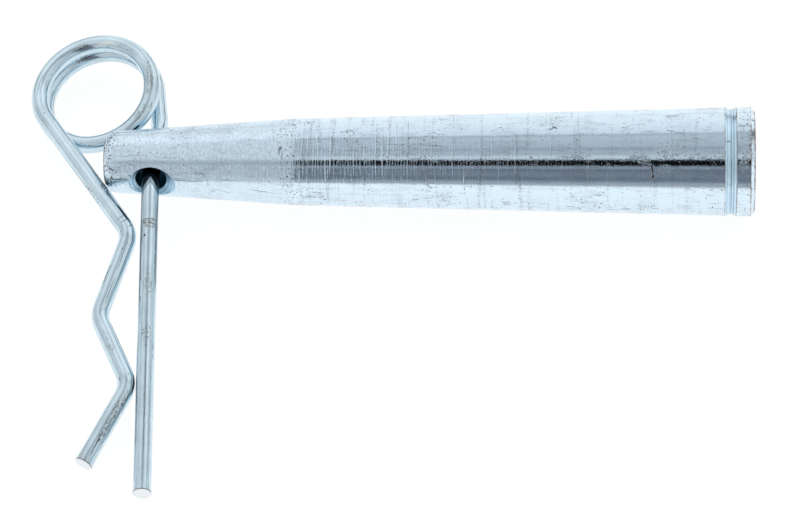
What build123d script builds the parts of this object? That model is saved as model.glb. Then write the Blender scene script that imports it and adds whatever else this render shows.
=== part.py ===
from build123d import *
import os
from math import acos, atan, atan2, cos, degrees, hypot, pi, radians, sin, tan

# A tapered truss pin with its wire R-clip through the cross hole, lying on a flat surface.
# X runs along the pin to its wide, struck end, and the clip's legs reach out along -Y.
# The pin lies on the lowest line of its cone, so its axis climbs by the cone's half angle.

# ---- tapered pin: distances run along its axis from the narrow end ----
pin_length = 75.0
step_at = 22.1  # where the short lead cone meets the main cone
step_r = 5.025
lead_half_angle = 4.0
main_half_angle = degrees(atan(1 / 40))  # a taper of 1 in 20 on the diameter
nose_round = 1.2
wide_chamfer = 0.35

groove_at = 72.25  # shallow ring groove just inside the wide end
groove_depth = 0.28
groove_rise = 0.75  # the flank towards the narrow end is the gentler one
groove_drop = 0.6
groove_round = 0.5

hole_at = 5.5  # cross hole, countersunk on both sides
hole_r = 1.75
sink_r = 2.75
sink_angle = 90.0
hole_roll = 10.5  # the mouth is rolled this far up from level

# ---- spring clip, drawn in a frame of its own: X along the legs, Z along the coil ----
wire_r = 1.025
coil_r = 6.7  # to the middle of the wire
coil_pitch = 2.12
coil_arcs = 8  # its helix is laid as tangent arcs, within 0.01 mm
leg_splay = 4.5  # the straight leg opens this far away from the coil
crank_run = 4.8  # straight wire between the coil and the crank through the pin
crank_x = 13.5  # where the crank ends and the straight leg proper begins
crank_bend_r = 5.0
leg_y = 7.25  # the straight leg's line, beside the coil's centre
leg_end_x = 55.0
run_out = 1.5  # straight wire where the waved leg leaves the coil
run_out_bend_r = 8.0
grip_bend = (21.0, 5.0)  # the corner that closes round the pin
belly_bend = (31.4, 1.5)
throat_bend = (40.9, 5.4)  # the corner that almost meets the straight leg
wave_tip = (50.3, 0.3)
wave_bend_r = (3.2, 3.6, 3.2)

# ---- how the two lie together ----
narrow_end_x = -32.78  # from the middle of the footprint of the pair
narrow_end_y = 12.84
wire_along = 0.12  # the middle of the crank in its slack hole, off the centre of the hole
wire_back = 2.0
wire_drop = 0.5645
clip_tilt = 13.2  # the waved leg's side hangs lower
clip_pitch = 4.4715  # the tips hang lower than the coil
clip_yaw = 2.1


def cone_r(s):
    """Radius of the pin at the distance s from its narrow end."""
    half_angle = lead_half_angle if s < step_at else main_half_angle
    return step_r + (s - step_at) * tan(radians(half_angle))


climb = radians(main_half_angle)
pin_plane = Plane(
    origin=(narrow_end_x, narrow_end_y, step_r * cos(climb) - step_at * sin(climb)),
    x_dir=(cos(climb), 0, sin(climb)),
    z_dir=(0, -1, 0),
)
hole_centre = pin_plane.from_local_coords((hole_at, 0, 0))
roll = radians(hole_roll)
hole_direction = pin_plane.z_dir * cos(roll) + pin_plane.y_dir * sin(roll)

# One turned piece: half of its long section is revolved about the axis.
with BuildPart() as tapered_pin:
    with BuildSketch(pin_plane):
        with BuildLine():
            Polyline(
                (0, 0),
                (0, cone_r(0)),
                (step_at, step_r),
                (groove_at - groove_rise, cone_r(groove_at - groove_rise)),
                (groove_at, cone_r(groove_at) - groove_depth),
                (groove_at + groove_drop, cone_r(groove_at + groove_drop)),
                (pin_length, cone_r(pin_length)),
                (pin_length, 0),
                close=True,
            )
        make_face()
        nose = vertices().group_by(Axis.X)[0].sort_by(Axis.Y)[-1]
        fillet(nose, nose_round)
        wide_rim = vertices().group_by(Axis.X)[-1].sort_by(Axis.Y)[-1]
        chamfer(wide_rim, wide_chamfer)
        groove_floor = vertices().sort_by_distance((groove_at, cone_r(groove_at)))[0]
        fillet(groove_floor, groove_round)
    revolve(axis=Axis(pin_plane.origin, pin_plane.x_dir))
    for outward in (hole_direction, -hole_direction):
        with Locations(Plane(hole_centre + outward * cone_r(hole_at), z_dir=outward)):
            CounterSinkHole(hole_r, sink_r, 2 * cone_r(hole_at), sink_angle)

# The coil ends where a line to the grip bend touches it, so the waved leg leaves it smoothly.
coil_start = 90 + leg_splay
coil_end = degrees(atan2(*reversed(grip_bend)) - acos(coil_r / hypot(*grip_bend))) + 2 * 360
arc_turn = (coil_end - coil_start) / coil_arcs


def coil_point(arcs):
    """The point on the coil's helix, so many arcs on from where the straight leg meets it."""
    rise = coil_pitch * (arcs - coil_arcs / 2) * arc_turn / 360
    return Vector(coil_r, 0, rise).rotate(Axis.Z, coil_start + arcs * arc_turn)


# An arc between two points of a helix leads a little less than the helix itself.
arc_lead = coil_pitch / (2 * pi * coil_r) * radians(arc_turn / 2) / tan(radians(arc_turn / 2))
first_heading = Vector(0, 1, arc_lead).normalized().rotate(Axis.Z, coil_start)

# One length of wire: straight leg, crank through the pin, coil and waved leg.
with BuildPart() as spring_clip:
    with BuildLine() as wire_path:
        heading = first_heading
        for arcs in range(coil_arcs):
            turn = TangentArc(coil_point(arcs), coil_point(arcs + 1), tangent=heading)
            heading = turn % 1
        waved_start = coil_point(coil_arcs) + heading * run_out
        crank_start = coil_point(0) - first_heading * crank_run
        crank_end = Vector(crank_x, leg_y, waved_start.Z)
        FilletPolyline(
            (leg_end_x, leg_y, waved_start.Z),
            crank_end,
            crank_start,
            coil_point(0),
            radius=crank_bend_r,
        )
        FilletPolyline(
            coil_point(coil_arcs),
            waved_start,
            *[(*bend, waved_start.Z) for bend in (grip_bend, belly_bend, throat_bend, wave_tip)],
            radius=(run_out_bend_r, *wave_bend_r),
        )
    wire = wire_path.wire()
    with BuildSketch(Plane(wire @ 0, z_dir=wire % 0)):
        Circle(wire_r)
    sweep(path=wire)

# The crank turns loosely in the hole. The clip rests on its coil and on the waved leg's tip.
clip_seat = Location(
    hole_centre + Vector(wire_along, wire_back, -wire_drop),
    (clip_tilt, clip_pitch, clip_yaw - 90),
    Extrinsic.XYZ,
)
spring_clip.part.locate(clip_seat * Location((crank_start + crank_end) / -2))

os.makedirs("parts", exist_ok=True)
tapered_pin.part.label = "tapered_pin"
spring_clip.part.label = "spring_clip"
export_step(tapered_pin.part, "parts/tapered_pin.step")
export_step(spring_clip.part, "parts/spring_clip.step")
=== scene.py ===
from math import acos, atan, atan2, ceil, cos, degrees, hypot, pi, radians, sin, tan

import bmesh
import bpy
from mathutils import Matrix, Quaternion, Vector


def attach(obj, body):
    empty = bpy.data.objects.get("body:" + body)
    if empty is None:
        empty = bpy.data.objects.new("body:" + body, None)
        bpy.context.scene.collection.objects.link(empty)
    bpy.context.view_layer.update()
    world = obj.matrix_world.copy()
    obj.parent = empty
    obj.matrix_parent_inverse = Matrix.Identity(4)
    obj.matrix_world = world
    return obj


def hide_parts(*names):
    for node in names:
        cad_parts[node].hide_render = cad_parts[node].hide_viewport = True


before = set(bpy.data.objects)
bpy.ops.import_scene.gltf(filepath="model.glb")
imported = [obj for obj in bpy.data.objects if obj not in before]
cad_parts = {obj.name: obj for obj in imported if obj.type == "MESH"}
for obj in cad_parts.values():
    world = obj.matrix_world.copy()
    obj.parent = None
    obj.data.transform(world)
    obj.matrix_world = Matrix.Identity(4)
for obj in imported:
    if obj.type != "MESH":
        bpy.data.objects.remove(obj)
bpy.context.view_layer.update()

scene = bpy.context.scene
scene.view_settings.view_transform = "Standard"
perMm = 0.001  # pieces are drawn in millimetres and brought to metres at the end
weldWithin = 0.0005  # mm


def asLinear(hexColour):
    # an sRGB hex colour as the linear values that a shader wants
    parts = [int(hexColour[i:i + 2], 16) / 255 for i in (1, 3, 5)]
    return tuple(c / 12.92 if c <= 0.04045 else ((c + 0.055) / 1.055) ** 2.4 for c in parts) + (1.0,)


def addNode(tree, kind, inputs=(), stops=(), **settings):
    # inputs: values, nodes or outputs for the sockets in use, in their order, or by name
    # stops: a colour ramp's stops as (place, grey level or colour)
    node = tree.nodes.new("ShaderNode" + kind)
    for name, value in settings.items():
        setattr(node, name, value)
    inUse = [socket for socket in node.inputs if socket.enabled]
    wanted = inputs.items() if isinstance(inputs, dict) else zip(inUse, inputs)
    for socket, value in wanted:
        socket = node.inputs[socket] if isinstance(socket, str) else socket
        if isinstance(value, bpy.types.Node):
            value = next(output for output in value.outputs if output.enabled)
        if isinstance(value, bpy.types.NodeSocket):
            tree.links.new(value, socket)
        else:
            socket.default_value = value
    for number, (place, colour) in enumerate(stops):
        points = node.color_ramp.elements
        isEnd = number in (0, len(stops) - 1)
        point = points[0 if number == 0 else -1] if isEnd else points.new(place)
        point.position = place
        point.color = colour if isinstance(colour, tuple) else (colour, colour, colour, 1.0)
    return node


def newMaterial(name):
    material = bpy.data.materials.new(name)
    material.use_nodes = True
    material.node_tree.nodes.clear()
    return material, material.node_tree


def placedMarks(tree, unrolled, radius, marks, fade=0.4):
    # soft edged marks on an unrolled side: (mm along, degrees round, half length mm, half width mm, turned
    # degrees, how dark). Each comes up to full over the outer part of its width that fade gives.
    shown = 0.0
    for along, angle, length, width, turned, dark in marks:
        place = (along, radians(angle) * radius, 0)
        spot = addNode(tree, "Mapping", [unrolled, place, (0, 0, radians(turned)), (length, width, 1.0)],
                       vector_type="TEXTURE")
        shape = addNode(tree, "TexGradient", [spot], gradient_type="SPHERICAL")
        mark = addNode(tree, "MapRange", [shape, 0.0, fade, 0.0, dark], interpolation_type="SMOOTHSTEP")
        shown = addNode(tree, "Math", [shown, mark], operation="MAXIMUM")
    return shown


def finishPiece(bm, name, body, node, material, place, sharpFrom):
    # closes the mesh, brings it to its place in metres and hands it to its body
    bmesh.ops.remove_doubles(bm, verts=bm.verts, dist=weldWithin)
    bmesh.ops.transform(bm, matrix=place @ Matrix.Scale(perMm, 4), verts=bm.verts)
    bmesh.ops.recalc_face_normals(bm, faces=bm.faces)
    for face in bm.faces:
        face.smooth = True
    for edge in bm.edges:
        edge.smooth = edge.calc_face_angle(0) < radians(sharpFrom)
    mesh = bpy.data.meshes.new(name)
    bm.to_mesh(mesh)
    bm.free()
    mesh.materials.append(material)
    piece = bpy.data.objects.new(name, mesh)
    scene.collection.objects.link(piece)
    weighted = piece.modifiers.new("weightedNormal", "WEIGHTED_NORMAL")
    weighted.keep_sharp = True
    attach(piece, body)
    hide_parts(node)


cameraSettings = {
    "aim": (1.50, 4.15, -2.80),  # mm
    "elevation": 54.233,  # degrees above the floor
    "swing": 3.21,  # degrees towards the wide end
    "roll": -1.729,
    "distance": 507.5,  # mm
    "lens": 197.2,
}


def placeCamera(settings):
    elevation = radians(settings["elevation"])
    swing = radians(settings["swing"])
    towards = Vector((sin(swing) * cos(elevation), -cos(swing) * cos(elevation), sin(elevation)))
    camera = bpy.data.objects.new("camera", bpy.data.cameras.new("camera"))
    camera.data.lens = settings["lens"]
    camera.data.sensor_width = 36
    camera.data.clip_start = 0.01
    camera.location = (Vector(settings["aim"]) + towards * settings["distance"]) * perMm
    turned = towards.to_track_quat("Z", "Y") @ Quaternion((0, 0, 1), radians(settings["roll"]))
    camera.rotation_euler = turned.to_euler()
    scene.collection.objects.link(camera)
    scene.camera = camera


placeCamera(cameraSettings)
print("camera placed")

# The light tent's brightness by the angle over the object: 0 at the floor in front, 90 overhead, 180 at the
# floor behind. The gap is the narrow dark opening in front that the camera looks in through.
tent = {
    "middle": [(0, 0.42), (4, 0.40), (8, 0.24), (13, 0.18), (22, 0.235), (31, 0.20), (35, 0.155),
               (37.5, 0.32), (41, 0.30), (46, 0.36), (55, 0.42), (59, 0.62), (65, 0.70), (68, 0.48),
               (77, 0.48), (82, 0.38), (88, 0.52), (100, 0.55), (109, 0.60), (113, 0.55), (117, 0.50),
               (125, 0.57), (135, 0.62), (149, 0.70), (151, 0.94), (160, 0.97), (180, 1.0)],
    "sides": [(0, 0.95), (8, 0.80), (20, 0.72), (36, 0.70), (42, 0.73), (45, 0.50), (55, 0.50),
              (60, 0.82), (80, 0.82), (95, 0.84), (112, 0.88), (117, 0.82), (125, 0.82), (149, 0.86),
              (151, 0.95), (167, 0.95), (171, 0.35), (178, 0.30), (180, 0.80)],
    "wings": [(0, 0.95), (8, 0.75), (30, 0.65), (100, 0.82), (116, 0.86), (118, 0.68), (149, 0.72),
              (151, 0.92), (160, 0.92), (166, 0.85), (170, 0.12), (178, 0.08), (180, 0.70)],
    "gap": [(42.3, 0.0), (44.1, 1.0), (56.2, 1.0), (58.0, 0.0)],
    # sines of the sideways angle at which one part gives way to the next
    "centre": 0.03, "gapHalf": (0.183, 0.207), "middleHalf": (0.18, 0.26), "sidesHalf": (0.38, 0.55),
    "gapDepth": 0.99,  # share of the cloth's light that the opening swallows
}


def greyOf(level):
    # the dark parts of the room are a little bluer than its white cloth
    return (level * (0.91 + 0.09 * level), level, level * (1 + 0.27 * (1 - level) ** 2), 1.0)


def lightTent(settings):
    world = bpy.data.worlds.new("tent")
    scene.world = world
    world.use_nodes = True
    tree = world.node_tree
    tree.nodes.clear()
    way = addNode(tree, "TexCoord").outputs["Generated"]
    parts = addNode(tree, "SeparateXYZ", [way]).outputs
    front = addNode(tree, "Math", [parts["Y"], -1.0], operation="MULTIPLY")
    over = addNode(tree, "Math", [parts["Z"], front], operation="ARCTAN2")
    share = addNode(tree, "Math", [over, pi], operation="DIVIDE")
    fromCentre = addNode(tree, "Math", [parts["X"], settings["centre"]], operation="SUBTRACT")
    aside = addNode(tree, "Math", [fromCentre], operation="ABSOLUTE")
    cloth = (0, 0, 0, 1)
    everywhere = (-1, 0)
    edges = {"middle": everywhere, "sides": settings["middleHalf"], "wings": settings["sidesHalf"]}
    for part, edge in edges.items():
        stops = [(angle / 180, greyOf(level)) for angle, level in settings[part]]
        shade = addNode(tree, "ValToRGB", [share], stops)
        beyond = addNode(tree, "MapRange", [aside, *edge], interpolation_type="SMOOTHSTEP")
        cloth = addNode(tree, "Mix", [beyond, cloth, shade], data_type="RGBA")
    opening = addNode(tree, "ValToRGB", [share], [(angle / 180, level) for angle, level in settings["gap"]])
    within = addNode(tree, "MapRange", [aside, *settings["gapHalf"], settings["gapDepth"], 0.0],
                     interpolation_type="SMOOTHSTEP")
    inGap = addNode(tree, "Math", [opening, within], operation="MULTIPLY")
    cloth = addNode(tree, "Mix", [inGap, cloth, (0, 0, 0, 1)], data_type="RGBA")
    light = addNode(tree, "Background", [cloth, 1.0])
    plain = addNode(tree, "Background", [(1, 1, 1, 1), 1.0])
    seen = addNode(tree, "LightPath").outputs["Is Camera Ray"]
    both = addNode(tree, "MixShader", [seen, light, plain])
    addNode(tree, "OutputWorld", [both])


lightTent(tent)

lamps = {  # metres and watts
    "softBoxBehind": {"place": (0, 0.625, 0.647), "wide": 1.6, "deep": 0.50, "power": 0.63},
}


def hangLamps(settings):
    for name, lamp in settings.items():
        data = bpy.data.lights.new(name, "AREA")
        data.shape = "RECTANGLE"
        data.size = lamp["wide"]
        data.size_y = lamp["deep"]
        data.energy = lamp["power"]
        hung = bpy.data.objects.new(name, data)
        hung.location = lamp["place"]
        hung.rotation_euler = Vector(lamp["place"]).to_track_quat("Z", "Y").to_euler()
        scene.collection.objects.link(hung)


hangLamps(lamps)

floorSettings = {
    "side": 4.0, "drop": 0.00003,  # metres
    "paper": "#F4F5F6", "glow": 0.88, "farGlow": 0.30, "shadowShare": 0.22,
    "fallsOff": (-0.16, -0.03),  # metres in front of the object, where its reflection darkens
}


def layFloor(settings):
    bm = bmesh.new()
    bmesh.ops.create_grid(bm, x_segments=1, y_segments=1, size=settings["side"] / 2)
    bmesh.ops.translate(bm, verts=bm.verts, vec=(0, 0, -settings["drop"]))
    mesh = bpy.data.meshes.new("floor")
    bm.to_mesh(mesh)
    bm.free()
    material, tree = newMaterial("whitePaperSheet")  # matt paper: no shine, only the soft shadow shows on it
    paper = addNode(tree, "BsdfDiffuse", [asLinear(settings["paper"])])
    faint = addNode(tree, "BsdfDiffuse", [[settings["shadowShare"]] * 3 + [1.0]])
    # the sheet falls off towards the camera's side of the room
    where = addNode(tree, "TexCoord").outputs["Object"]
    depth = addNode(tree, "SeparateXYZ", [where]).outputs["Y"]
    bright = addNode(tree, "MapRange", [depth, *settings["fallsOff"], settings["farGlow"], settings["glow"]],
                     interpolation_type="SMOOTHSTEP")
    rays = addNode(tree, "LightPath").outputs
    level = addNode(tree, "Mix", [rays["Is Camera Ray"], bright, settings["glow"]])
    glow = addNode(tree, "Emission", [(1, 1, 1, 1), level])
    lit = addNode(tree, "AddShader", [faint, glow])
    looked = addNode(tree, "Math", [rays["Is Camera Ray"], rays["Is Glossy Ray"]], operation="MAXIMUM")
    looked = addNode(tree, "Math", [looked, rays["Is Transmission Ray"]], operation="MAXIMUM")
    shown = addNode(tree, "MixShader", [looked, paper, lit])
    addNode(tree, "OutputMaterial", [shown])
    mesh.materials.append(material)
    floor = bpy.data.objects.new("floor", mesh)
    scene.collection.objects.link(floor)


layFloor(floorSettings)
print("floor and light ready")


pin = {  # mm and degrees
    "length": 75.0, "stepAt": 22.1, "stepRadius": 5.025, "leadAngle": 4.0, "mainSlope": 1 / 40,
    "noseRound": 1.2, "wideChamfer": 0.55,
    "grooveAt": 72.25, "grooveDepth": 0.28, "grooveRise": 0.75, "grooveDrop": 0.6, "grooveRound": 0.3,
    "holeAt": 5.5, "boreRadius": 1.75, "sinkRadius": 2.75, "holeRoll": 10.5,
    "narrowEnd": (-32.78, 12.84, 4.4711),  # mm, centre of the narrow end
    "holeMargin": 3.2,  # mm on each side of the cross hole where the mesh is close
    "holeGap": 0.22, "leadGap": 1.0, "mainGap": 2.0,  # mm from ring to ring of the mesh
    "edgeHold": 0.1, "noseHold": 1.6, "rimHold": 0.15,  # mm from a turned edge to the ring that holds it
    "stepNick": 0.02,  # mm that the tool dipped where the two cones meet
    "sinkRound": 0.25, "toolReach": 0.6, "sinkSides": 128,
    "sidesRound": 256,
    "sharpFrom": 10.5,  # degrees
}
climb = atan(pin["mainSlope"])
pinPlace = Matrix.Translation(Vector(pin["narrowEnd"]) * perMm) @ Matrix.Rotation(-climb, 4, "Y")


def coneRadius(s):
    past = s - pin["stepAt"]
    return pin["stepRadius"] + past * (pin["mainSlope"] if past > 0 else tan(radians(pin["leadAngle"])))


def roundCorner(bm, vert, radius):
    # vert joins two edges, and the bevel's offset is measured along them
    arms = [edge.other_vert(vert).co - vert.co for edge in vert.link_edges]
    half = arms[0].angle(arms[1]) / 2
    bmesh.ops.bevel(bm, geom=[vert], offset=radius / tan(half), offset_type="OFFSET", affect="VERTICES",
                    segments=10, profile=0.5, material=-1)


def cutCrossHole(body):
    # a bore with a countersink at each mouth, cut through by a turned tool of that shape
    surface = coneRadius(pin["holeAt"])
    sinkDeep = pin["sinkRadius"] - pin["boreRadius"]
    reach = pin["toolReach"]
    corners = ((0, surface + reach), (pin["sinkRadius"] + reach, surface + reach),
               (pin["boreRadius"], surface - sinkDeep))
    bm = bmesh.new()
    outline = [bm.verts.new((r, 0, -h)) for r, h in corners]
    outline += [bm.verts.new((r, 0, h)) for r, h in reversed(corners)]
    for pair in zip(outline, outline[1:]):
        bm.edges.new(pair)
    for vert in (outline[2], outline[3]):
        roundCorner(bm, vert, pin["sinkRound"])
    bmesh.ops.spin(bm, geom=bm.verts[:] + bm.edges[:], cent=(0, 0, 0), axis=(0, 0, 1), dvec=(0, 0, 0),
                   angle=2 * pi, steps=pin["sinkSides"], use_merge=True, use_duplicate=False)
    bmesh.ops.remove_doubles(bm, verts=bm.verts, dist=weldWithin)
    bmesh.ops.transform(bm, matrix=Matrix.Translation((pin["holeAt"], 0, 0))
                        @ Matrix.Rotation(radians(90 - pin["holeRoll"]), 4, "X"), verts=bm.verts)
    bmesh.ops.recalc_face_normals(bm, faces=bm.faces)
    toolMesh = bpy.data.meshes.new("cutter")
    bm.to_mesh(toolMesh)
    bm.free()
    bodyMesh = bpy.data.meshes.new("uncut")
    body.to_mesh(bodyMesh)
    body.free()
    tool = bpy.data.objects.new("cutter", toolMesh)
    uncut = bpy.data.objects.new("uncut", bodyMesh)
    for thing in (tool, uncut):
        scene.collection.objects.link(thing)
    cut = uncut.modifiers.new("crossHole", "BOOLEAN")
    cut.operation = "DIFFERENCE"
    cut.solver = "EXACT"
    cut.object = tool
    bpy.context.view_layer.update()
    result = bmesh.new()
    result.from_object(uncut, bpy.context.evaluated_depsgraph_get())
    for thing in (tool, uncut):
        bpy.data.objects.remove(thing)
    return result


def turnPin():
    bm = bmesh.new()
    groove = pin["grooveAt"]
    grooveIn, grooveOut = groove - pin["grooveRise"], groove + pin["grooveDrop"]
    rim = pin["length"] - pin["wideChamfer"]
    face = coneRadius(rim) - pin["wideChamfer"]
    step, hold = pin["stepAt"], pin["edgeHold"]
    # how far along each corner lies, and how far it lies below the cone there
    sides = [(0, 0), (pin["holeAt"] - pin["holeMargin"], 0), (pin["holeAt"] + pin["holeMargin"], 0),
             (step - hold, 0), (step, pin["stepNick"]), (step + hold, 0), (grooveIn - hold, 0), (grooveIn, 0),
             (groove, pin["grooveDepth"]), (grooveOut, 0), (rim, 0)]
    corners = [(0, 0), (0, coneRadius(0) - pin["noseHold"])]
    corners += [(s, coneRadius(s) - below) for s, below in sides]
    corners += [(pin["length"], r) for r in (face, face - pin["rimHold"], 0)]
    line = [bm.verts.new((s, 0, r)) for s, r in corners]
    runs = [bm.edges.new(pair) for pair in zip(line, line[1:])]
    roundCorner(bm, line[2], pin["noseRound"])
    roundCorner(bm, line[10], pin["grooveRound"])
    # the mesh's rings lie close together beside the hole, and further apart along the plain runs
    for run, gap in ((runs[3], pin["holeGap"]), (runs[4], pin["leadGap"]), (runs[7], pin["mainGap"])):
        bmesh.ops.subdivide_edges(bm, edges=[run], cuts=ceil(run.calc_length() / gap) - 1)
    bmesh.ops.spin(bm, geom=bm.verts[:] + bm.edges[:], cent=(0, 0, 0), axis=(1, 0, 0), dvec=(0, 0, 0),
                   angle=2 * pi, steps=pin["sidesRound"], use_merge=True, use_duplicate=False)
    bmesh.ops.remove_doubles(bm, verts=bm.verts, dist=weldWithin)
    bmesh.ops.recalc_face_normals(bm, faces=bm.faces)
    return cutCrossHole(bm)


pinFinish = {
    "zinc": "#DDF0FC", "zincDull": "#BCCAD6", "grooveZinc": "#CDE8F7", "ringLine": "#8FAFC8",
    # the groove line colour paints the dark reflection that the groove's flanks show
    "sinkZinc": "#C8EAFF", "grooveReflectionLine": "#6474A0", "grey": "#8E9AA4", "leadDull": "#98A4B4",
    # the bore's colour is painted shade, standing for the shadow and dark reflections inside the hole
    "stain": "#846C72", "pit": "#38302F", "rimStainAndNoseOutline": "#9A7B66", "bore": "#3C7C92",
    "unrollRadius": 6.0,  # mm, at which marks are laid out round the pin
    # mm between tool lines along the pin, across its end faces, in the countersinks and in the groove, all
    # drawn two or three times as coarse as the real feed so that they show
    "feed": 0.34, "facingFeed": 0.60, "sinkFeed": 0.34, "grooveFeed": 0.36,
    "roughness": {"taper": (0.04, 0.10), "lead": (0.12, 0.34), "sink": 0.42, "groove": 0.20, "endFace": 0.28,
                  "worn": 0.55, "bore": 0.50},
    # (strength, mm high)
    "relief": {"pit": (0.5, 0.03), "scuff": (1.0, 0.012), "ring": (1.0, 0.004), "grain": (0.7, 0.009),
               "toolLine": (1.0, 0.011)},
    # (mm from the narrow end, value): depth of the tool lines, crowding of the pits, dark dots along the tool
    # lines and hair scratches
    "lineDepth": ((0, 0.30), (22.0, 0.30), (22.2, 0.90), (34, 0.85), (46, 0.75), (60, 0.52), (75, 0.45)),
    "pitCrowd": ((0, 0.12), (0.9, 0.11), (1.7, 0.045), (6, 0.02), (19.5, 0.0), (21, 0.06), (22.2, 0.10),
                 (22.9, 0.03), (40, 0.02), (70, 0.02), (73.0, 0.05), (74.35, 0.10), (74.6, 0.05), (75, 0.05)),
    "dots": ((0, 0.12), (22.0, 0.12), (22.2, 0.6), (46, 0.55), (58, 0.35), (75, 0.25)),
    "hairs": ((0, 0.25), (21.0, 0.30), (23.0, 0.60), (75, 0.62)),
    "soft": 0.08,  # mm over which one turned part's look gives way to the next
    # mm between which a look comes up to full: an end face's by the way left to that end, the countersink's
    # by the depth below the cone and by the distance from the drill's axis
    "endFaceFrom": (0.05, 0.01), "sinkFrom": (0.02, 0.05), "sinkWithin": (3.0, 2.9),
    "boreLip": 0.02,  # mm past the bore's wall to which its painted shade reaches
    # rings round the pin: (mm from the narrow end, half width mm)
    # the first ring, at the nose, is painted shade: the dark outline along the nose's rounded edge; the
    # others are rims where the zinc wore off
    "rubbedRingsAndNoseOutline": ((0.15, 0.11), (71.5, 0.06), (72.85, 0.07), (74.45, 0.07), (74.88, 0.10)),
    # two dark lines in the groove, a painted reflection of its ridged flanks
    "grooveReflectionLines": ((72.23, 0.07), (72.52, 0.05)), "grooveReflectionDark": 0.60,
    # marks as placedMarks takes them, from the narrow end and round from the front
    "scratchesAndReflectionLine": (
        (38.0, 73, 2.6, 0.09, -4, 0.5), (33.6, 74, 1.6, 0.08, -2, 0.4), (36.4, 84, 1.8, 0.10, 3, 0.5),
        (60.4, 55, 1.0, 0.08, 4, 0.7), (62.3, 52, 0.9, 0.10, 160, 0.8), (63.2, 45, 0.9, 0.12, 105, 0.9),
        (63.3, 37, 0.45, 0.20, 85, 0.9), (52.1, 95, 0.5, 0.14, -30, 0.9), (51.7, 93, 0.4, 0.10, 10, 0.7),
        (65.4, 112, 0.9, 0.10, 2, 0.8), (66.0, 86, 1.5, 0.09, -14, 0.5), (68.4, 78, 0.9, 0.08, -10, 0.5),
        # the three marks at 20 to 24 degrees round on the lead are a painted reflection: the dark line along
        # its lower side
        (9.8, 22, 2.8, 0.10, 0, 0.55), (1.6, 20, 1.3, 0.14, 3, 0.9), (14.5, 24, 1.8, 0.07, 2, 0.40),
        (20.7, 70, 0.40, 0.24, 70, 0.6), (20.5, 66, 0.6, 0.12, 100, 0.5), (20.9, 60, 0.9, 0.08, 95, 0.4),
        (3.4, 64, 2.2, 0.16, 2, 0.22), (7.6, 60, 1.6, 0.12, -3, 0.20), (2.4, 84, 1.4, 0.10, 4, 0.25),
        (18.2, 8, 1.6, 0.07, -12, 0.6), (14.0, 3, 1.3, 0.06, -24, 0.5), (24.8, 9, 0.9, 0.08, -6, 0.6),
        (42.0, 40, 0.7, 0.06, 80, 0.4), (56.0, 66, 0.6, 0.06, 15, 0.4), (71.9, 75, 0.35, 0.10, 20, 0.6),
    ),
    "scuffs": (
        (65.2, 66, 2.6, 1.2, 10, 0.8), (61.6, 58, 1.8, 0.9, -20, 0.6), (68.6, 60, 2.4, 0.7, 0, 0.6),
        (55.0, 60, 2.2, 0.6, 5, 0.4), (73.7, 78, 0.9, 2.4, 0, 0.25), (73.6, 50, 0.9, 1.5, 0, 0.5),
        (64.8, 44, 2.0, 0.8, 0, 0.4),
    ),
}


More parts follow.
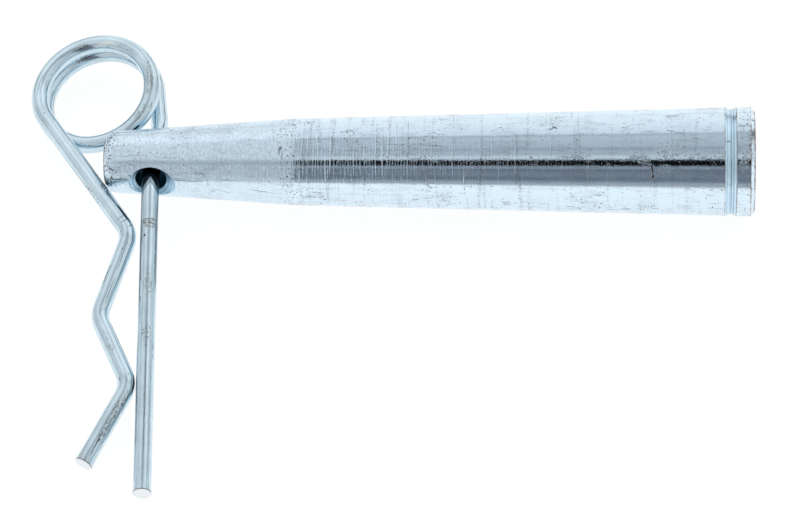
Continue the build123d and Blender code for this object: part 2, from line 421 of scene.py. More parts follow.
def zincPlatedTurnedSteel(finish):
    # Turned on a lathe and bright zinc plated: a cool silver mirror across the pin, broken along it by fine
    # tool lines, and a softer, cloudier shine on the rougher lead end.
    material, tree = newMaterial("zincPlatedTurnedSteel")
    where = addNode(tree, "TexCoord").outputs["Object"]
    start = Vector(pin["narrowEnd"]) * perMm
    along = addNode(tree, "Mapping", [where, start, (0, -climb, 0), [perMm] * 3], vector_type="TEXTURE")
    axes = addNode(tree, "SeparateXYZ", [along]).outputs
    down = axes["X"]  # millimetres from the narrow end
    share = addNode(tree, "Math", [down, pin["length"]], operation="DIVIDE")
    front = addNode(tree, "Math", [axes["Y"], -1.0], operation="MULTIPLY")
    roundAngle = addNode(tree, "Math", [axes["Z"], front], operation="ARCTAN2")
    roundMm = addNode(tree, "Math", [roundAngle, finish["unrollRadius"]], operation="MULTIPLY")
    radial = addNode(tree, "VectorMath", [along, (0, 1, 1)], operation="MULTIPLY")
    fromAxis = addNode(tree, "VectorMath", [radial], operation="LENGTH")
    # marks are laid out on the unrolled side, and straight across the two end faces
    toEnd = addNode(tree, "Math", [pin["length"], down], operation="SUBTRACT")
    nearestEnd = addNode(tree, "Math", [down, toEnd], operation="MINIMUM")
    isEnd = addNode(tree, "MapRange", [nearestEnd, *finish["endFaceFrom"]], interpolation_type="SMOOTHSTEP")
    onSide = addNode(tree, "CombineXYZ", [down, roundMm])
    clearOfMarks = addNode(tree, "Math", [axes["Y"], 2 * pin["length"]], operation="ADD")
    onEnd = addNode(tree, "CombineXYZ", [clearOfMarks, axes["Z"]])
    unrolled = addNode(tree, "Mix", [isEnd, onSide, onEnd], data_type="VECTOR")
    byPlace = {}
    for name in ("lineDepth", "pitCrowd", "dots", "hairs"):
        stops = [(mm / pin["length"], value) for mm, value in finish[name]]
        byPlace[name] = addNode(tree, "ValToRGB", [share], stops)

    stepAt, soft = pin["stepAt"], finish["soft"]
    isLead = addNode(tree, "MapRange", [down, stepAt + soft, stepAt - soft], interpolation_type="SMOOTHSTEP")
    grooveFrom = pin["grooveAt"] - pin["grooveRise"]
    grooveTo = pin["grooveAt"] + pin["grooveDrop"]
    pastIn = addNode(tree, "MapRange", [down, grooveFrom - soft, grooveFrom + soft],
                     interpolation_type="SMOOTHSTEP")
    beforeOut = addNode(tree, "MapRange", [down, grooveTo + soft, grooveTo - soft],
                        interpolation_type="SMOOTHSTEP")
    isGroove = addNode(tree, "Math", [pastIn, beforeOut], operation="MULTIPLY")
    offGroove = addNode(tree, "Math", [1.0, isGroove], operation="SUBTRACT")

    # tool lines: the steady feed of the lathe, wandering a little, uneven in depth, with odd deeper lines
    stretched = addNode(tree, "VectorMath", [along, (1.0, 0.10, 0.10)], operation="MULTIPLY")
    wander = addNode(tree, "TexNoise", {"Vector": stretched, "Scale": 0.9, "Detail": 2.0})
    phase = addNode(tree, "Math", [wander, 0.8, down], operation="MULTIPLY_ADD")
    phase = addNode(tree, "Math", [phase, 2 * pi / finish["feed"]], operation="MULTIPLY")
    beat = addNode(tree, "Math", [phase], operation="SINE")
    skewed = addNode(tree, "VectorMath", [along, (1.0, 0.20, 0.20)], operation="MULTIPLY")
    uneven = addNode(tree, "TexNoise", {"Vector": skewed, "Scale": 3.1, "Detail": 2.0, "Roughness": 0.6})
    ringed = addNode(tree, "VectorMath", [along, (1.0, 0.05, 0.05)], operation="MULTIPLY")
    oddNoise = addNode(tree, "TexNoise", {"Vector": ringed, "Scale": 2.3, "Detail": 1.0})
    odd = addNode(tree, "MapRange", [oddNoise, 0.56, 0.70], interpolation_type="SMOOTHSTEP")
    lines = addNode(tree, "Math", [beat, 0.13, uneven], operation="MULTIPLY_ADD")
    lines = addNode(tree, "Math", [odd, 0.45, lines], operation="MULTIPLY_ADD")
    lines = addNode(tree, "Math", [lines, byPlace["lineDepth"]], operation="MULTIPLY")
    # plating grain, under 0.1 mm, drawn a little coarse so that it shows
    grain = addNode(tree, "TexNoise", {"Vector": along, "Scale": 4.5, "Detail": 3.0, "Roughness": 0.65})
    # the lead's close rough rings, 0.1 to 0.2 mm apart and broken up
    squeezed = addNode(tree, "VectorMath", [along, (1.0, 0.30, 0.30)], operation="MULTIPLY")
    roughRings = addNode(tree, "TexNoise", {
        "Vector": squeezed, "Scale": 8.0, "Detail": 3.0, "Roughness": 0.7})
    leadFleck = addNode(tree, "MapRange", [roughRings, 0.48, 0.66], interpolation_type="SMOOTHSTEP")
    # the lead is dulled most on its upper and far side
    farSide = addNode(tree, "VectorMath", [along, (0.0, 0.9, 1.0)], operation="DOT_PRODUCT").outputs["Value"]
    farSide = addNode(tree, "MapRange", [farSide, 0.0, 4.4, 0.0, 0.38])
    leadFleck = addNode(tree, "Math", [leadFleck, farSide], operation="MULTIPLY")
    leadFleck = addNode(tree, "Math", [leadFleck, isLead], operation="MULTIPLY")

    # handling scratches where they sit on the pin, each a little bent, and a painted reflection: a dark line
    # along the lead's lower side
    drift = addNode(tree, "TexNoise", {"Vector": unrolled, "Scale": 1.1, "Detail": 2.0}).outputs["Color"]
    drift = addNode(tree, "VectorMath", [drift, (0.5, 0.5, 0.5)], operation="SUBTRACT")
    bent = addNode(tree, "VectorMath", [drift, (0.6, 0.6, 0.0), unrolled], operation="MULTIPLY_ADD")
    scratchedAndReflectionLine = placedMarks(tree, bent, finish["unrollRadius"], finish["scratchesAndReflectionLine"])
    # scuffed patches: the mirror broken up by close light handling
    scuffed = placedMarks(tree, bent, finish["unrollRadius"], finish["scuffs"], fade=0.6)
    flecks = addNode(tree, "TexNoise", {"Vector": along, "Scale": 3.2, "Detail": 3.0, "Roughness": 0.7})
    flecks = addNode(tree, "MapRange", [flecks, 0.46, 0.60], interpolation_type="SMOOTHSTEP")
    scuffed = addNode(tree, "Math", [scuffed, flecks], operation="MULTIPLY")
    # hair scratches: thin veins in patches, most of them lying along the pin
    patches = addNode(tree, "TexNoise", {"Vector": along, "Scale": 0.22, "Detail": 2.0, "Roughness": 0.6})
    hair = 0.0
    # (how each kind is drawn out, its scale per mm, how thin it is, how much of the pin stays clear of it)
    hairs = (((0.14, 1.1, 0.0), 0.6, 0.012, 0.50), ((0.50, 0.6, 0.0), 0.9, 0.009, 0.55),
             ((0.20, 0.9, 0.0), 1.6, 0.016, 0.54))
    for squeeze, scale, thin, low in hairs:
        lying = addNode(tree, "VectorMath", [bent, squeeze], operation="MULTIPLY")
        vein = addNode(tree, "TexNoise", {"Vector": lying, "Scale": scale, "Detail": 2.5, "Roughness": 0.6})
        vein = addNode(tree, "Math", [vein, 0.5], operation="SUBTRACT")
        vein = addNode(tree, "Math", [vein], operation="ABSOLUTE")
        vein = addNode(tree, "MapRange", [vein, thin, thin * 0.3], interpolation_type="SMOOTHSTEP")
        patch = addNode(tree, "TexNoise", {"Vector": along, "Scale": scale * 0.9, "Detail": 1.0})
        patch = addNode(tree, "Mix", [0.5, patch, patches])
        patch = addNode(tree, "MapRange", [patch, low, low + 0.07], interpolation_type="SMOOTHSTEP")
        vein = addNode(tree, "Math", [vein, patch], operation="MULTIPLY")
        hair = addNode(tree, "Math", [hair, vein], operation="MAXIMUM")
    hair = addNode(tree, "Math", [hair, byPlace["hairs"]], operation="MULTIPLY")
    hair = addNode(tree, "Math", [hair, offGroove], operation="MULTIPLY")

    # pits: thick on the rounded nose, by the step and round the wide rim, in loose clusters elsewhere
    pitNoise = addNode(tree, "TexNoise", {"Vector": along, "Scale": 3.8, "Detail": 2.5, "Roughness": 0.6})
    cluster = addNode(tree, "Math", [patches, 0.25, -0.125], operation="MULTIPLY_ADD")
    pitLevel = addNode(tree, "Math", [pitNoise, byPlace["pitCrowd"]], operation="ADD")
    pitLevel = addNode(tree, "Math", [pitLevel, cluster], operation="ADD")
    pitLevel = addNode(tree, "Math", [isEnd, -0.07, pitLevel], operation="MULTIPLY_ADD")
    pitLevel = addNode(tree, "Math", [pitLevel, offGroove], operation="MULTIPLY")
    pits = addNode(tree, "MapRange", [pitLevel, 0.71, 0.76, 0.0, 0.9], interpolation_type="SMOOTHSTEP")
    dirt = addNode(tree, "MapRange", [pitLevel, 0.655, 0.73, 0.0, 0.6], interpolation_type="SMOOTHSTEP")
    # dark dots strung along the odd deeper tool lines
    dotNoise = addNode(tree, "TexNoise", {"Vector": along, "Scale": 4.5, "Detail": 1.0})
    dotted = addNode(tree, "MapRange", [dotNoise, 0.50, 0.62], interpolation_type="SMOOTHSTEP")
    onLine = addNode(tree, "MapRange", [odd, 0.25, 0.7], interpolation_type="SMOOTHSTEP")
    dotted = addNode(tree, "Math", [dotted, onLine], operation="MULTIPLY")
    dotted = addNode(tree, "Math", [dotted, byPlace["dots"]], operation="MULTIPLY")
    # a thin brown line where the zinc wore off each sharp turned edge; the ring at the nose instead paints
    # the dark outline along the nose's rounded edge, a painted shade
    edgeNoise = addNode(tree, "TexNoise", {"Vector": along, "Scale": 1.6, "Detail": 2.0})
    ringsAt = {}
    for name in ("rubbedRingsAndNoseOutline", "grooveReflectionLines"):
        ringsAt[name] = 0.0
        for mm, half in finish[name]:
            away = addNode(tree, "Math", [down, mm], operation="SUBTRACT")
            away = addNode(tree, "Math", [away], operation="ABSOLUTE")
            line = addNode(tree, "MapRange", [away, half, half * 0.4], interpolation_type="SMOOTHSTEP")
            ringsAt[name] = addNode(tree, "Math", [ringsAt[name], line], operation="MAXIMUM")
    broken = addNode(tree, "MapRange", [edgeNoise, 0.36, 0.56, 0.15, 0.85], interpolation_type="SMOOTHSTEP")
    rubbedAndNoseOutline = addNode(tree, "Math", [ringsAt["rubbedRingsAndNoseOutline"], broken], operation="MULTIPLY")
    # painted reflection: dark lines across the groove
    grooveReflectionLine = addNode(tree, "Math", [ringsAt["grooveReflectionLines"], finish["grooveReflectionDark"]],
                         operation="MULTIPLY")

    # painted shade: below its countersinks the bore is coloured a dark teal that stands for the shadow and
    # the dark reflections inside the hole
    across = (radians(90 - pin["holeRoll"]), 0, 0)
    drill = addNode(tree, "Mapping", [along, (pin["holeAt"], 0, 0), across, (1, 1, 1)], vector_type="TEXTURE")
    drill = addNode(tree, "VectorMath", [drill, (1, 1, 0)], operation="MULTIPLY")
    fromDrill = addNode(tree, "VectorMath", [drill], operation="LENGTH")
    boreEdge = pin["boreRadius"] + finish["boreLip"]
    inPaintedBoreShade = addNode(tree, "MapRange", [fromDrill, boreEdge + soft, boreEdge],
                     interpolation_type="SMOOTHSTEP")
    leadSlope = tan(radians(pin["leadAngle"]))
    coneHere = addNode(tree, "Math", [down, leadSlope, coneRadius(0)], operation="MULTIPLY_ADD")
    sunk = addNode(tree, "Math", [coneHere, fromAxis], operation="SUBTRACT")
    inSink = addNode(tree, "MapRange", [sunk, *finish["sinkFrom"]], interpolation_type="SMOOTHSTEP")
    nearHole = addNode(tree, "MapRange", [fromDrill, *finish["sinkWithin"]], interpolation_type="SMOOTHSTEP")
    inSink = addNode(tree, "Math", [inSink, nearHole], operation="MULTIPLY")
    # rings that the countersink, the grooving tool and the facing cut left
    facingWay = addNode(tree, "Math", [wander, 0.5, fromAxis], operation="MULTIPLY_ADD")
    rings = 0.0
    for way, feed, part in ((fromDrill, "sinkFeed", inSink), (down, "grooveFeed", isGroove),
                            (facingWay, "facingFeed", isEnd)):
        ring = addNode(tree, "Math", [way, 2 * pi / finish[feed]], operation="MULTIPLY")
        ring = addNode(tree, "Math", [ring], operation="SINE")
        rings = addNode(tree, "Math", [ring, part, rings], operation="MULTIPLY_ADD")
    ringShade = addNode(tree, "MapRange", [rings, 0.2, 1.0, 0.0, 0.60])

    # colour: clean zinc, clouded and streaked a little, greyed in the scratches, browned and dark in the
    # pits, with painted shade in the bore and painted reflection lines in the groove and along the lead
    cloud = addNode(tree, "TexNoise", {"Vector": along, "Scale": 0.35, "Detail": 3.0, "Roughness": 0.6})
    swept = addNode(tree, "VectorMath", [unrolled, (0.25, 1.6, 0.0)], operation="MULTIPLY")
    streaks = addNode(tree, "TexNoise", {"Vector": swept, "Scale": 1.3, "Detail": 3.0, "Roughness": 0.65})
    cloudy = addNode(tree, "Mix", [0.5, cloud, streaks])
    lineShade = addNode(tree, "Math", [beat, 0.35, odd], operation="MULTIPLY_ADD")
    lineShade = addNode(tree, "Math", [lineShade, byPlace["dots"]], operation="MULTIPLY")
    lineShade = addNode(tree, "Math", [lineShade, 0.12, cloudy], operation="MULTIPLY_ADD")
    dull = addNode(tree, "MapRange", [lineShade, 0.47, 0.68, 0.0, 0.6], interpolation_type="SMOOTHSTEP")
    colour = asLinear(finish["zinc"])
    for amount, tint in ((dull, "zincDull"), (leadFleck, "leadDull"), (isGroove, "grooveZinc"),
                         (inSink, "sinkZinc"), (ringShade, "ringLine"), (grooveReflectionLine, "grooveReflectionLine"),
                         (dotted, "grey"), (hair, "grey"), (scuffed, "grey"), (dirt, "stain"),
                         (rubbedAndNoseOutline, "rimStainAndNoseOutline"), (pits, "pit"), (scratchedAndReflectionLine, "pit"), (inPaintedBoreShade, "bore")):
        colour = addNode(tree, "Mix", [amount, colour, asLinear(finish[tint])], data_type="RGBA")

    # roughness: nearly a mirror along the taper, a broken mix of mirror and matt grain on the lead
    leadRough = addNode(tree, "MapRange", [roughRings, 0.40, 0.60, *finish["roughness"]["lead"]],
                        interpolation_type="SMOOTHSTEP")
    taperRough = addNode(tree, "MapRange", [grain, 0.35, 0.70, *finish["roughness"]["taper"]],
                         interpolation_type="SMOOTHSTEP")
    rough = addNode(tree, "Mix", [isLead, taperRough, leadRough])
    marked = addNode(tree, "Math", [pits, scratchedAndReflectionLine], operation="MAXIMUM")
    worn = 0.0
    for mask in (marked, dirt, hair, rubbedAndNoseOutline, scuffed):
        worn = addNode(tree, "Math", [worn, mask], operation="MAXIMUM")
    for mask, name in ((inSink, "sink"), (isGroove, "groove"), (isEnd, "endFace"), (worn, "worn"),
                       (inPaintedBoreShade, "bore")):
        rough = addNode(tree, "Mix", [mask, rough, finish["roughness"][name]])

    strength, deep = finish["relief"]["pit"]
    bump = addNode(tree, "Bump", {"Height": marked, "Strength": strength, "Distance": deep * perMm},
                   invert=True)
    for height, name in ((scuffed, "scuff"), (rings, "ring"), (grain, "grain"), (lines, "toolLine")):
        strength, high = finish["relief"][name]
        bump = addNode(tree, "Bump", {
            "Height": height, "Strength": strength, "Distance": high * perMm, "Normal": bump})
    metal = addNode(tree, "BsdfPrincipled", {
        "Base Color": colour, "Metallic": 1.0, "Roughness": rough, "Normal": bump})
    addNode(tree, "OutputMaterial", [metal])
    return material


finishPiece(turnPin(), "turnedPin", "pin", "tapered_pin",
            zincPlatedTurnedSteel(pinFinish), pinPlace, pin["sharpFrom"])
print("pin turned, drilled and plated")


clip = {  # mm and degrees
    "wireRadius": 1.018, "coilRadius": 6.7, "coilPitch": 2.12, "legSplay": 4.5,
    "legEnd": 55.0, "crankX": 13.5, "legY": 7.25, "crankRun": 4.8, "crankBend": 5.0,
    "runOut": 1.5, "runOutBend": 8.0,
    "grip": (21.0, 5.0), "belly": (31.4, 1.5), "throat": (40.9, 5.4), "tip": (50.3, 0.3),
    "waveBends": (3.2, 3.6, 3.2),
    "seat": (-27.1617, 14.84, 4.0441),  # mm, where the crank passes through the pin
    "tilt": 13.2, "pitch": 4.4715, "yaw": -87.9,  # degrees, as the clip leans on the floor
    "sidesRound": 64,
    "bendStep": 3.0,  # degrees of bend per ring of the mesh
    "runStep": 1.2,  # mm of straight wire per ring of the mesh
    "cutSlant": 4.0, "cutFlare": 1.03, "rimRound": 0.07,
    "sharpFrom": 30,  # degrees
}


def layWire():
    # The wire is drawn out along its route as a ring of points carried forward, bend by bend. Each point
    # remembers where it lay on the straight wire, across and along, so that draw marks follow the bends.
    bm = bmesh.new()
    bmesh.ops.create_circle(bm, cap_ends=False, segments=clip["sidesRound"], radius=clip["wireRadius"])
    memory = bm.verts.layers.float_vector.new("straightWire")
    for vert in bm.verts:
        vert[memory] = vert.co
    corners = []  # millimetres along the wire at the middle of each bend
    coilRadius = clip["coilRadius"]
    splay = radians(90 + clip["legSplay"])
    tangent = acos(coilRadius / hypot(*clip["grip"]))
    coilTurn = atan2(clip["grip"][1], clip["grip"][0]) - tangent + 4 * pi - splay
    rise = clip["coilPitch"] * coilTurn / (2 * pi)
    lead = clip["coilPitch"] / (2 * pi * coilRadius)

    def onCoil(angle, height):
        return Vector((coilRadius * cos(angle), coilRadius * sin(angle), height))

    def coilHeading(angle):
        return Vector((-sin(angle), cos(angle), lead)).normalized()

    coilIn = onCoil(splay, -rise / 2)
    coilOut = onCoil(splay + coilTurn, rise / 2)
    crankStart = coilIn - coilHeading(splay) * clip["crankRun"]
    waveStart = coilOut + coilHeading(splay + coilTurn) * clip["runOut"]
    level = waveStart.z
    legEnd = Vector((clip["legEnd"], clip["legY"], level))
    crankEnd = Vector((clip["crankX"], clip["legY"], level))
    wave = [Vector((x, y, level)) for x, y in (clip["grip"], clip["belly"], clip["throat"], clip["tip"])]

    heading = (crankEnd - legEnd).normalized()
    facing = heading.to_track_quat("Z", "Y").to_matrix().to_4x4()
    bmesh.ops.transform(bm, matrix=Matrix.Translation(legEnd) @ facing, verts=bm.verts)
    state = {"ring": bm.verts[:] + bm.edges[:], "at": legEnd, "heading": heading, "travelled": 0.0}
    ends = [state["ring"]]

    def carried(ring, length):
        for part in ring:
            if isinstance(part, bmesh.types.BMVert):
                spot = part[memory].copy()
                spot.z += length
                part[memory] = spot
        state["ring"] = ring
        state["travelled"] += length

    def run(length):
        steps = max(1, ceil(length / clip["runStep"]))
        for _ in range(steps):
            edges = [part for part in state["ring"] if isinstance(part, bmesh.types.BMEdge)]
            drawn = bmesh.ops.extrude_edge_only(bm, edges=edges)["geom"]
            verts = [part for part in drawn if isinstance(part, bmesh.types.BMVert)]
            ring = verts + [part for part in drawn if isinstance(part, bmesh.types.BMEdge)
                            and not any(vert in state["ring"] for vert in part.verts)]
            bmesh.ops.translate(bm, vec=state["heading"] * length / steps, verts=verts)
            carried(ring, length / steps)
        state["at"] = state["at"] + state["heading"] * length

    def bend(centre, axis, angle, advance=0.0):
        steps = max(1, ceil(degrees(angle) / clip["bendStep"]))
        radius = (state["at"] - centre).cross(axis).length
        for _ in range(steps):
            spun = bmesh.ops.spin(bm, geom=state["ring"], cent=centre, axis=axis, dvec=axis * advance / steps,
                                  angle=angle / steps, steps=1, use_merge=False, use_duplicate=False)
            carried(spun["geom_last"], hypot(radius * angle, advance) / steps)
        turn = Matrix.Rotation(angle, 3, axis)
        state["at"] = centre + turn @ (state["at"] - centre) + axis * advance
        state["heading"] = turn @ state["heading"]

    def follow(points, radii):
        # straight runs between the points, with a bend of the given radius at each but the last
        for corner, after, radius in zip(points, points[1:], radii):
            onward = (after - corner).normalized()
            angle = state["heading"].angle(onward)
            run((corner - state["at"]).length - radius * tan(angle / 2))
            corners.append(state["travelled"] + radius * angle / 2)
            axis = state["heading"].cross(onward).normalized()
            bend(state["at"] + axis.cross(state["heading"]) * radius, axis, angle)
        run((points[-1] - state["at"]).length)

    follow([crankEnd, crankStart, coilIn], [clip["crankBend"]] * 2)
    bend(Vector((0, 0, state["at"].z)), Vector((0, 0, 1)), coilTurn, rise)
    follow([waveStart] + wave, [clip["runOutBend"]] + list(clip["waveBends"]))
    ends.append(state["ring"])

    # both ends are sheared: a face a little off square, its rim swelled and softened
    bm.normal_update()
    cuts = ((ends[0], legEnd, legEnd - crankEnd), (ends[1], wave[-1], wave[-1] - wave[-2]))
    for ring, centre, outward in cuts:
        verts = [part for part in ring if isinstance(part, bmesh.types.BMVert)]
        edges = [part for part in ring if isinstance(part, bmesh.types.BMEdge)]
        across = outward.cross(Vector((0, 0, 1))).normalized()
        slant = Matrix.Rotation(radians(clip["cutSlant"]), 3, across)
        bmesh.ops.rotate(bm, cent=centre, matrix=slant, verts=verts)
        bmesh.ops.scale(bm, vec=[clip["cutFlare"]] * 3, space=Matrix.Translation(-centre), verts=verts)
        face = bmesh.ops.contextual_create(bm, geom=edges)["faces"][0]
        bmesh.ops.bevel(bm, geom=face.edges[:], offset=clip["rimRound"], offset_type="OFFSET", affect="EDGES",
                        segments=3, profile=0.5, material=-1)
    stations = dict(zip(("grip", "belly", "throat"), corners[-3:]), cutEnd=0.0, tip=state["travelled"])
    return bm, (crankStart + crankEnd) / 2, stations


clipFinish = {
    "wire": "#D2E6F0", "wireDull": "#B5C7D0", "cutFace": "#F3F8FA", "stain": "#7D6A59", "rub": "#6E5A4C",
    # near black and grey: the two tones of the painted shade where the wire enters the bore
    "pit": "#34302F", "line": "#4E5A62", "bare": "#F0F4EF", "paintedArchShade": "#05131B", "paintedArchBorder": "#7C8C96",
    "roughness": (0.06, 0.16), "wornRoughness": 0.5,
    "relief": {"grain": (0.4, 0.005), "drawLine": (1.0, 0.016)},  # (strength, mm high)
    # painted shade where the wire enters the bore: mm along the wire from its straight leg's cut end, fall of
    # the arch per mm sideways, mm of grey border
    "archShadeFrom": 40.75, "archShadeTo": 47.0, "archShadeSlope": 1.45, "archShadeBorderWidth": 0.7,
    "archShadeFlank": (0.96, 0.29, 0.0),  # direction across the wire towards the arch's flanks
    # mm from a sheared end between which its clean face, and the brown line on its rim, come up to full
    "cutFaceFrom": (0.03, 0.005), "rimLineFrom": (0.20, 0.08),
    # marks as placedMarks takes them, but for a station and the mm past it
    # round the wire, 0 is the clip's inner side, 90 its upper side and 180 its outer side
    "rubsAndContactShadow": (
        ("cutEnd", 35.2, 104, 1.3, 0.06, 84, 0.9), ("cutEnd", 34.9, 100, 1.2, 0.05, 90, 0.8),
        ("cutEnd", 34.6, 112, 1.2, 0.06, 95, 0.85), ("cutEnd", 34.2, 128, 0.8, 0.05, 84, 0.7),
        ("cutEnd", 33.0, 78, 0.24, 0.18, 0, 1.0), ("cutEnd", 33.6, 158, 0.8, 0.08, 4, 0.85),
        ("cutEnd", 31.6, 160, 0.5, 0.09, -8, 0.85), ("cutEnd", 29.6, 156, 0.4, 0.10, 20, 0.8),
        ("cutEnd", 27.4, 56, 0.6, 0.06, 5, 0.6), ("cutEnd", 24.6, 58, 0.5, 0.06, 0, 0.5),
        ("cutEnd", 18.4, 158, 0.7, 0.07, -6, 0.7), ("cutEnd", 17.2, 156, 0.4, 0.06, 10, 0.6),
        ("grip", -2.0, 66, 0.9, 0.06, 75, 0.85), ("grip", -1.4, 60, 0.9, 0.06, 82, 0.85),
        ("grip", -0.6, 44, 0.6, 0.07, 70, 0.7), ("grip", 6.0, 120, 1.7, 0.09, 1, 0.9),
        # the mark at the throat, on the inner side where the wave touches the straight leg, is a painted
        # contact shadow
        ("throat", 0.0, 14, 1.3, 0.26, 0, 0.9), ("grip", -9.4, 30, 2.8, 0.12, 0, 0.75),
    ),
    "lines": (
        ("cutEnd", 12.5, 110, 12.2, 0.06, 0.2, 0.55), ("grip", 2.8, 60, 2.8, 0.06, -1.0, 0.7),
        ("belly", -3.0, 54, 2.1, 0.06, -2.0, 0.7), ("belly", -3.4, 40, 2.0, 0.05, -1.0, 0.6),
        ("tip", -2.6, 54, 2.2, 0.08, -2.0, 0.95), ("tip", -5.2, 44, 2.0, 0.06, -1.0, 0.7),
        ("cutEnd", 117.6, 84, 2.2, 0.06, 2.0, 0.7), ("cutEnd", 72.6, 62, 2.4, 0.05, 2.0, 0.6),
        # from here on the marks are painted shade and painted dark reflection: the dark outlines along the
        # wire's flanks by the pin, and along its inner side, in the dark line colour
        ("cutEnd", 31.0, 41, 10.0, 0.30, 0, 0.75), ("cutEnd", 11.0, 36, 12.0, 0.18, 0, 0.6),
        ("cutEnd", 38.6, 34, 3.4, 0.22, 0, 0.95), ("cutEnd", 38.6, 172, 3.4, 0.26, 0, 0.9),
        ("cutEnd", 32.0, 166, 8.0, 0.30, 0, 0.75), ("cutEnd", 10.5, 142, 11.0, 0.06, 0.3, 0.6),
        ("grip", -8.6, 16, 8.4, 0.15, 0, 0.9), ("grip", 5.5, 16, 4.4, 0.08, 0, 0.6),
        ("belly", 5.0, 16, 4.6, 0.13, 0, 0.85), ("throat", 5.4, 16, 4.6, 0.10, 0, 0.7),
        ("cutEnd", 84.0, 16, 24.0, 0.09, 0, 0.55),
    ),
    "scuffs": (
        ("throat", 3.0, 46, 2.6, 0.55, 2, 0.8), ("throat", 5.8, 48, 2.6, 0.42, 2, 0.8),
        ("cutEnd", 26.2, 112, 2.2, 0.7, 0, 0.50), ("cutEnd", 20.2, 108, 1.2, 0.7, 0, 0.55),
        ("cutEnd", 34.6, 107, 0.9, 1.3, 0, 0.65), ("belly", 4.5, 88, 2.2, 0.5, 0, 0.40),
        ("grip", -7.6, 146, 2.8, 0.35, 0, 0.9), ("cutEnd", 98.6, 96, 3.2, 0.5, 3, 0.55),
        ("cutEnd", 93.8, 104, 1.8, 0.5, 0, 0.6), ("cutEnd", 110.2, 50, 1.6, 0.4, 0, 0.8),
        ("cutEnd", 68.6, 50, 1.6, 0.4, 0, 0.8), ("cutEnd", 104.0, 70, 2.6, 0.4, 0, 0.25),
    ),
    "bright": (
        ("cutEnd", 107.3, 56, 1.1, 0.22, -4, 0.8), ("cutEnd", 106.4, 66, 0.9, 0.20, 5, 0.8),
        ("cutEnd", 65.6, 58, 1.0, 0.2, 0, 0.7),
    ),
}


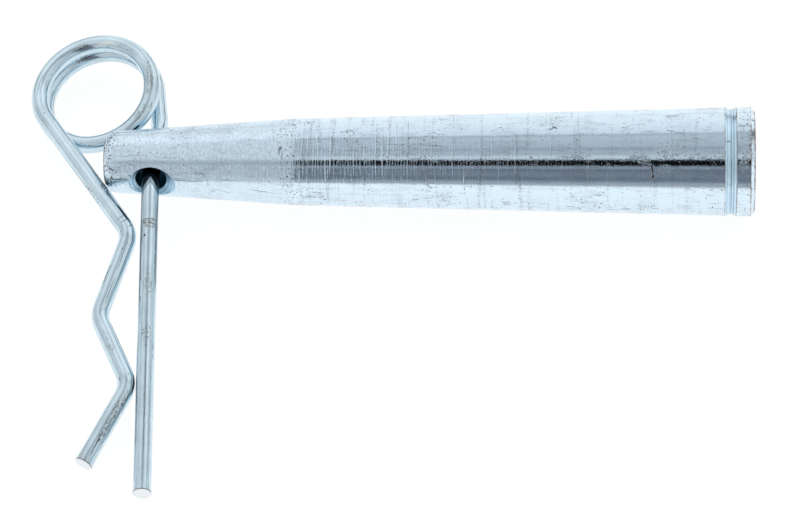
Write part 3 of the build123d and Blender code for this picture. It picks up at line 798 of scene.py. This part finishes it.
def zincPlatedDrawnWire(finish, stations):
    # Spring wire drawn through a die, coiled, then zinc plated: a satin grey blue silver with fine lines that
    # follow the wire, rubbed and browned where it has been handled.
    material, tree = newMaterial("zincPlatedDrawnWire")
    wire = addNode(tree, "Attribute", attribute_name="straightWire").outputs["Vector"]  # mm, z along the wire
    axes = addNode(tree, "SeparateXYZ", [wire]).outputs
    along = axes["Z"]
    roundAngle = addNode(tree, "Math", [axes["Y"], axes["X"]], operation="ARCTAN2")
    roundMm = addNode(tree, "Math", [roundAngle, clip["wireRadius"]], operation="MULTIPLY")
    unrolled = addNode(tree, "CombineXYZ", [along, roundMm])

    # draw lines centimetres long, drawn 0.15 to 0.4 mm apart so that the finest still show
    drawn = addNode(tree, "VectorMath", [wire, (1.0, 1.0, 0.03)], operation="MULTIPLY")
    broad = addNode(tree, "TexNoise", {"Vector": drawn, "Scale": 2.2, "Detail": 2.0, "Roughness": 0.6})
    fine = addNode(tree, "TexNoise", {"Vector": drawn, "Scale": 6.5, "Detail": 1.0})
    drawLines = addNode(tree, "Mix", [0.4, broad, fine])
    grain = addNode(tree, "TexNoise", {"Vector": wire, "Scale": 4.5, "Detail": 3.0, "Roughness": 0.65})
    cloud = addNode(tree, "TexNoise", {"Vector": wire, "Scale": 0.3, "Detail": 3.0, "Roughness": 0.6})
    streak = addNode(tree, "Mix", [0.5, cloud, drawLines])
    dull = addNode(tree, "MapRange", [streak, 0.44, 0.64, 0.0, 0.7])

    # placed marks: rubbed spots and a painted contact shadow where the wire meets the straight leg, long dark
    # draw scores together with dark lines along the wire's flanks that are painted shade and painted dark
    # reflection, and scuffs broken up by the grain
    drift = addNode(tree, "TexNoise", {"Vector": unrolled, "Scale": 1.3, "Detail": 2.0}).outputs["Color"]
    drift = addNode(tree, "VectorMath", [drift, (0.5, 0.5, 0.5)], operation="SUBTRACT")
    bent = addNode(tree, "VectorMath", [drift, (0.35, 0.25, 0.0), unrolled], operation="MULTIPLY_ADD")
    masks = {}
    for kind in ("rubsAndContactShadow", "lines", "scuffs", "bright"):
        marks = [(stations[station] + past, *rest) for station, past, *rest in finish[kind]]
        masks[kind] = placedMarks(tree, bent, clip["wireRadius"], marks)
    flecked = addNode(tree, "VectorMath", [wire, (1.0, 1.0, 0.5)], operation="MULTIPLY")
    fleck = addNode(tree, "TexNoise", {"Vector": flecked, "Scale": 5.5, "Detail": 3.0, "Roughness": 0.7})
    fleck = addNode(tree, "MapRange", [fleck, 0.46, 0.60], interpolation_type="SMOOTHSTEP")
    scuffed = addNode(tree, "Math", [masks["scuffs"], fleck], operation="MULTIPLY")

    # loose dirt and pits
    spots = addNode(tree, "VectorMath", [wire, (1.0, 1.0, 0.45)], operation="MULTIPLY")
    pitNoise = addNode(tree, "TexNoise", {"Vector": spots, "Scale": 2.2, "Detail": 3.0, "Roughness": 0.6})
    dirt = addNode(tree, "MapRange", [pitNoise, 0.66, 0.74, 0.0, 0.6], interpolation_type="SMOOTHSTEP")
    pits = addNode(tree, "MapRange", [pitNoise, 0.72, 0.77, 0.0, 0.8], interpolation_type="SMOOTHSTEP")

    # painted shade where the wire passes into the dark bore: a pointed arch, dark inside a grey border,
    # lowest on its flanks, standing for the bore's shadow and its dark reflection on the wire
    sideways = addNode(tree, "VectorMath", [wire, finish["archShadeFlank"]], operation="DOT_PRODUCT")
    sideways = addNode(tree, "Math", [sideways.outputs["Value"]], operation="ABSOLUTE")
    arch = addNode(tree, "Math", [sideways, finish["archShadeSlope"], along], operation="MULTIPLY_ADD")
    inside = addNode(tree, "Math", [arch, finish["archShadeFrom"]], operation="SUBTRACT")
    paintedArchShade = addNode(tree, "MapRange", [inside, 0.0, 0.12, 0.0, 0.97], interpolation_type="SMOOTHSTEP")
    outer = -finish["archShadeBorderWidth"]
    paintedArchBorder = addNode(tree, "MapRange", [inside, outer, outer + 0.1, 0.0, 0.8],
                     interpolation_type="SMOOTHSTEP")
    beyond = addNode(tree, "MapRange", [along, finish["archShadeTo"], finish["archShadeTo"] + 0.5, 1.0, 0.0])
    paintedArchShade = addNode(tree, "Math", [paintedArchShade, beyond], operation="MULTIPLY")
    paintedArchBorder = addNode(tree, "Math", [paintedArchBorder, beyond], operation="MULTIPLY")

    # the sheared ends: a bright clean face with a thin brown line round its rim
    toTip = addNode(tree, "Math", [stations["tip"], along], operation="SUBTRACT")
    fromEnd = addNode(tree, "Math", [along, toTip], operation="MINIMUM")
    isFace = addNode(tree, "MapRange", [fromEnd, *finish["cutFaceFrom"]], interpolation_type="SMOOTHSTEP")
    nearRim = addNode(tree, "MapRange", [fromEnd, *finish["rimLineFrom"], 0.0, 0.8],
                      interpolation_type="SMOOTHSTEP")

    colour = asLinear(finish["wire"])
    for amount, tint in ((dull, "wireDull"), (masks["bright"], "bare"), (dirt, "stain"), (scuffed, "rub"),
                         (masks["rubsAndContactShadow"], "rub"), (masks["lines"], "line"), (pits, "pit"), (paintedArchBorder, "paintedArchBorder"),
                         (paintedArchShade, "paintedArchShade"), (nearRim, "stain"), (isFace, "cutFace")):
        colour = addNode(tree, "Mix", [amount, colour, asLinear(finish[tint])], data_type="RGBA")
    rough = addNode(tree, "MapRange", [grain, 0.35, 0.65, *finish["roughness"]])
    for mask in (dirt, scuffed, masks["rubsAndContactShadow"], isFace):
        rough = addNode(tree, "Mix", [mask, rough, finish["wornRoughness"]])
    strength, high = finish["relief"]["grain"]
    bump = addNode(tree, "Bump", {"Height": grain, "Strength": strength, "Distance": high * perMm})
    strength, high = finish["relief"]["drawLine"]
    bump = addNode(tree, "Bump", {
        "Height": drawLines, "Strength": strength, "Distance": high * perMm, "Normal": bump})
    metal = addNode(tree, "BsdfPrincipled", {
        "Base Color": colour, "Metallic": 1.0, "Roughness": rough, "Normal": bump})
    addNode(tree, "OutputMaterial", [metal])
    return material


wireMesh, middle, stations = layWire()
swivel = Vector(clip["seat"]) * perMm
lean = (Matrix.Rotation(radians(clip["yaw"]), 4, "Z") @ Matrix.Rotation(radians(clip["pitch"]), 4, "Y")
        @ Matrix.Rotation(radians(clip["tilt"]), 4, "X"))
clipPlace = Matrix.Translation(swivel) @ lean @ Matrix.Translation(-middle * perMm)
finishPiece(wireMesh, "drawnWireClip", "clip", "spring_clip",
            zincPlatedDrawnWire(clipFinish, stations), clipPlace, clip["sharpFrom"])
print("clip bent and seated")
